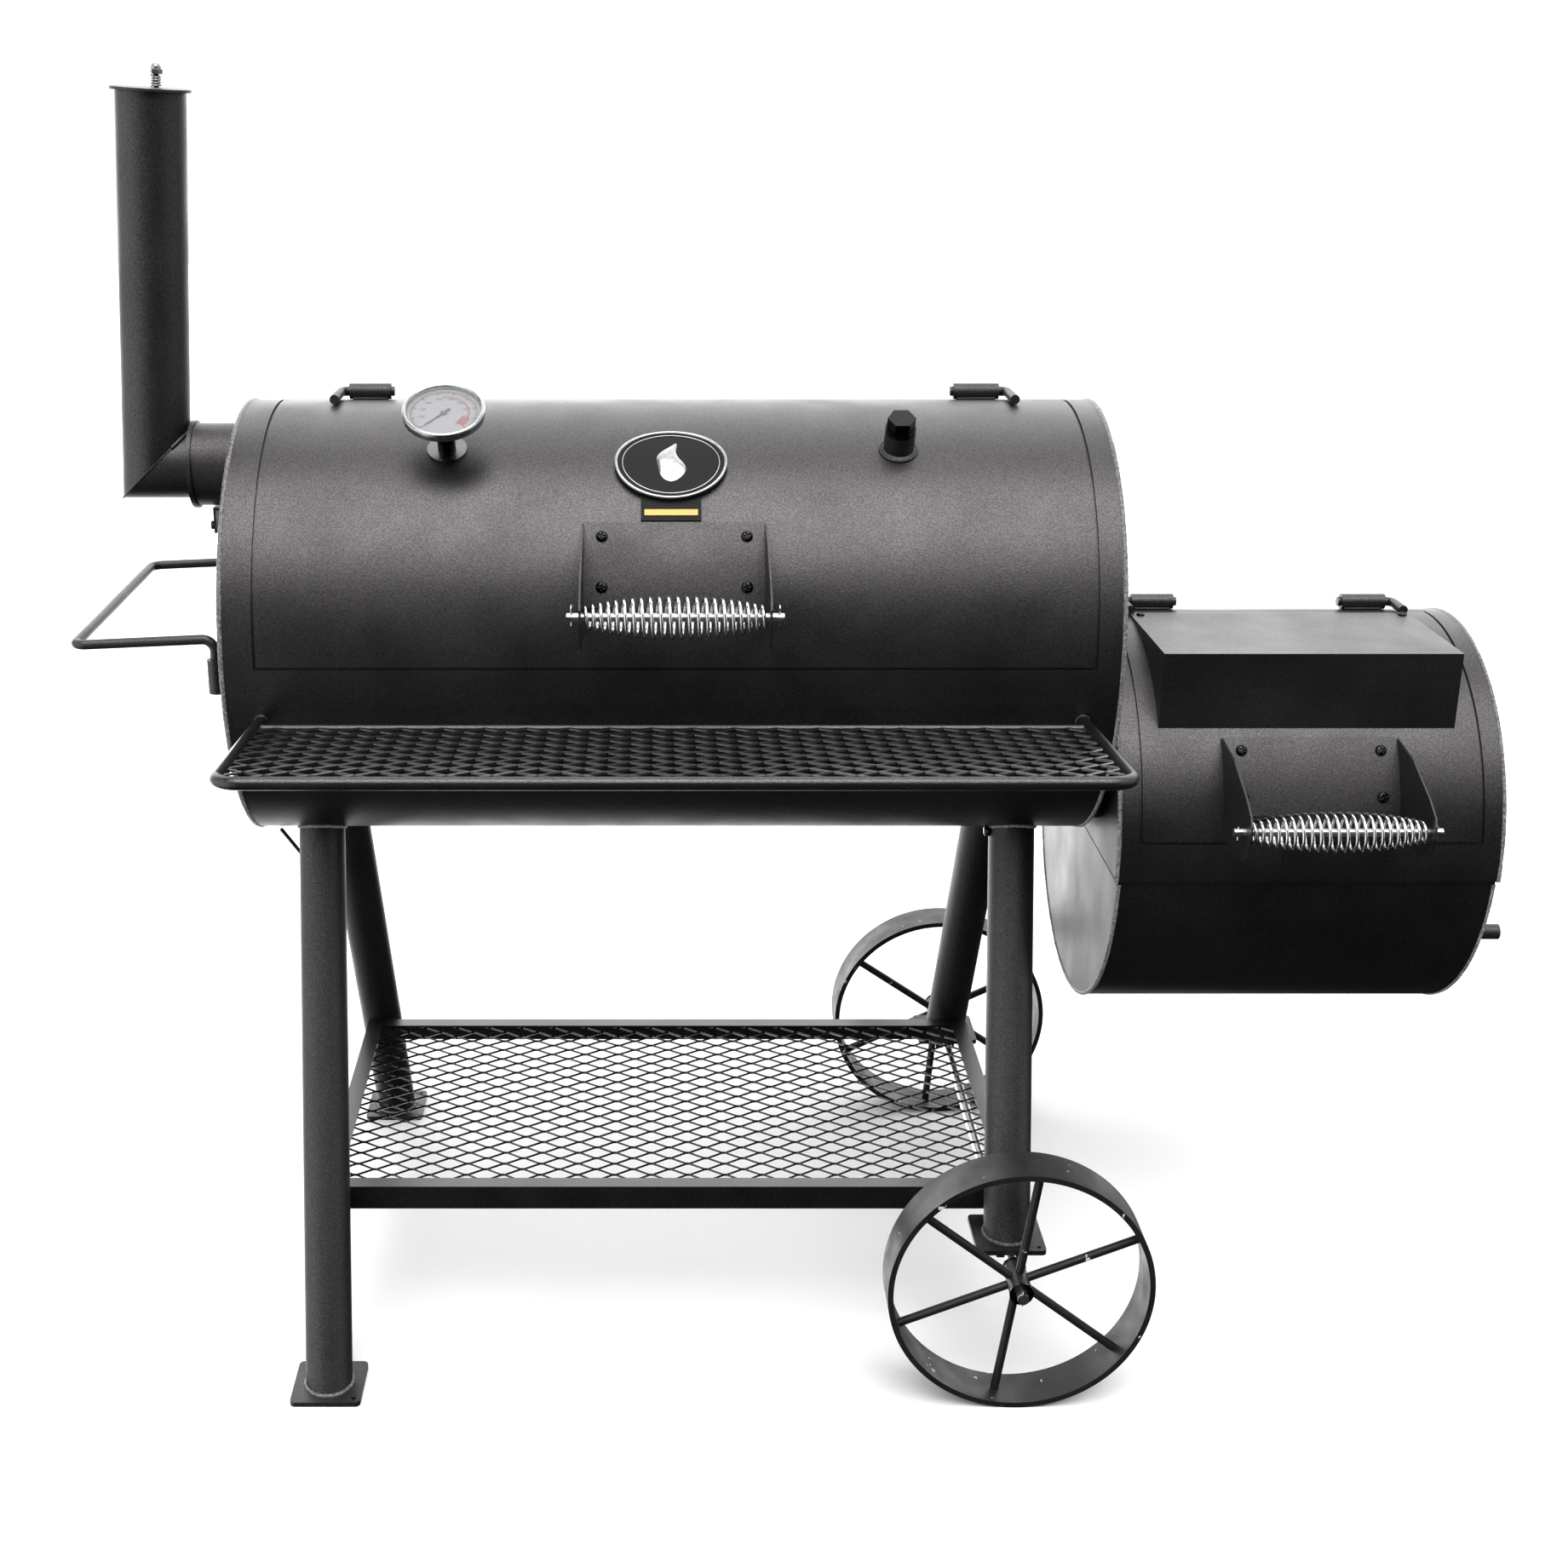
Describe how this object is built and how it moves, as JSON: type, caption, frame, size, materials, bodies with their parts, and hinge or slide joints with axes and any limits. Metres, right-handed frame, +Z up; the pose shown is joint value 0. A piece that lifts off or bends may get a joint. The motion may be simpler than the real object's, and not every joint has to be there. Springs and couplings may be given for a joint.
{
  "type": "offset smoker",
  "caption": "Barrel smoker on splayed legs and spoked wheels, with a lidded firebox at one end, a bent stack at the other and two mesh shelves.",
  "frame": {"origin": "ground, under the middle of the whole object's box", "axes": "+X along the barrel towards the firebox, +Y to the rear, +Z up"},
  "size_m": [1.6212, 0.9196, 1.4691],
  "materials": {
    "powder_coat": "satin black powder coat with a fine grain",
    "mesh_black": "satin black on expanded sheet",
    "chrome_wire": "bright",
    "bright_steel": "zinc plated",
    "bare_grate": "seasoned",
    "brass_strip": "brushed",
    "dial_white": "matt white",
    "needle_black": "matt",
    "glass": "clear"
  },
  "bodies": {
    "frame": {"axle": "bright_steel", "axle_cotters": "chrome_wire", "axle_lugs": "powder_coat", "axle_washers": "bright_steel", "bucket_hook": "powder_coat", "cap_bolt": "bright_steel", "chamber_left_end": "powder_coat", "chamber_lid_strips": "powder_coat", "chamber_right_end": "powder_coat", "chamber_shell": "powder_coat", "charcoal_grate": "bare_grate", "cooking_grates": "bare_grate", "door_fittings": "powder_coat", "fire_neck": "powder_coat", "firebox_ends": "powder_coat", "firebox_lid_strips": "powder_coat", "firebox_lower_shell": "powder_coat", "firebox_upper_shell": "powder_coat", "foot_plates": "powder_coat", "front_shelf_frame": "powder_coat", "front_shelf_mesh": "mesh_black", "grate_ledges": "powder_coat", "hinge_tubes": "powder_coat", "legs": "powder_coat", "lower_shelf_frame": "powder_coat", "lower_shelf_mesh": "mesh_black", "side_handle": "powder_coat", "side_handle_sockets": "powder_coat", "stack_bracket": "powder_coat", "stack_collar": "powder_coat", "stack_pipe": "powder_coat"},
    "main_lid": {"main_lid": "powder_coat", "main_hinge_rods": "powder_coat", "main_handle_bracket": "powder_coat", "main_handle_screws": "bright_steel", "main_handle_rod": "bright_steel", "main_handle_cotters": "chrome_wire", "main_coil_grip": "chrome_wire", "badge": "powder_coat", "badge_strip": "brass_strip", "gauge_case": "bright_steel", "gauge_dial": "dial_white", "gauge_glass": "glass", "port_coupling": "powder_coat", "port_plug": "powder_coat"},
    "needle": {"gauge_needle": "needle_black"},
    "firebox_lid": {"firebox_lid": "powder_coat", "firebox_hinge_rods": "powder_coat", "firebox_handle_bracket": "powder_coat", "firebox_screws": "bright_steel", "firebox_handle_rod": "bright_steel", "firebox_handle_cotters": "chrome_wire", "firebox_coil_grip": "chrome_wire", "warming_top": "powder_coat"},
    "stack_cap": {"stack_cap": "powder_coat"},
    "side_door": {"side_door": "powder_coat"},
    "door_latch": {"door_latch": "powder_coat"},
    "air_damper": {"air_damper": "powder_coat"},
    "front_wheel": {"front_wheel": "powder_coat"},
    "rear_wheel": {"rear_wheel": "powder_coat"}
  },
  "joints": [
    {"name": "main_lid_hinge", "type": "hinge", "parent": "frame", "child": "main_lid", "pos_m": [-0.1502, 0.10449, 1.1068], "axis": [-1, 0, 0], "range_deg": [0, 100]},
    {"name": "gauge_needle_turn", "type": "hinge", "parent": "main_lid", "child": "needle", "pos_m": [-0.3992, -0.06542, 1.06811], "axis": [0, 0.4939, -0.8695], "range_deg": [0, 250]},
    {"name": "firebox_lid_hinge", "type": "hinge", "parent": "frame", "child": "firebox_lid", "pos_m": [0.5698, 0.10325, 0.8525], "axis": [-1, 0, 0], "range_deg": [0, 100]},
    {"name": "stack_cap_swing", "type": "hinge", "parent": "frame", "child": "stack_cap", "pos_m": [-0.72676, 0.08919, 1.443], "axis": [0.061, 0, 0.9981], "range_deg": [0, 110]},
    {"name": "side_door_hinge", "type": "hinge", "parent": "frame", "child": "side_door", "pos_m": [0.7923, 0.23019, 0.5202], "axis": [0, 0, 1], "range_deg": [0, 110]},
    {"name": "door_latch_turn", "type": "hinge", "parent": "side_door", "child": "door_latch", "pos_m": [0.7881, -0.08581, 0.5202], "axis": [1, 0, 0], "range_deg": [0, 90]},
    {"name": "air_damper_turn", "type": "hinge", "parent": "side_door", "child": "air_damper", "pos_m": [0.7881, 0.06019, 0.5202], "axis": [1, 0, 0], "range_deg": [0, 45]},
    {"name": "front_wheel_spin", "type": "hinge", "parent": "frame", "child": "front_wheel", "pos_m": [0.24827, -0.29941, 0.1521], "axis": [0, 1, 0], "continuous": true},
    {"name": "rear_wheel_spin", "type": "hinge", "parent": "frame", "child": "rear_wheel", "pos_m": [0.24827, 0.41979, 0.1521], "axis": [0, 1, 0], "continuous": true}
  ]
}
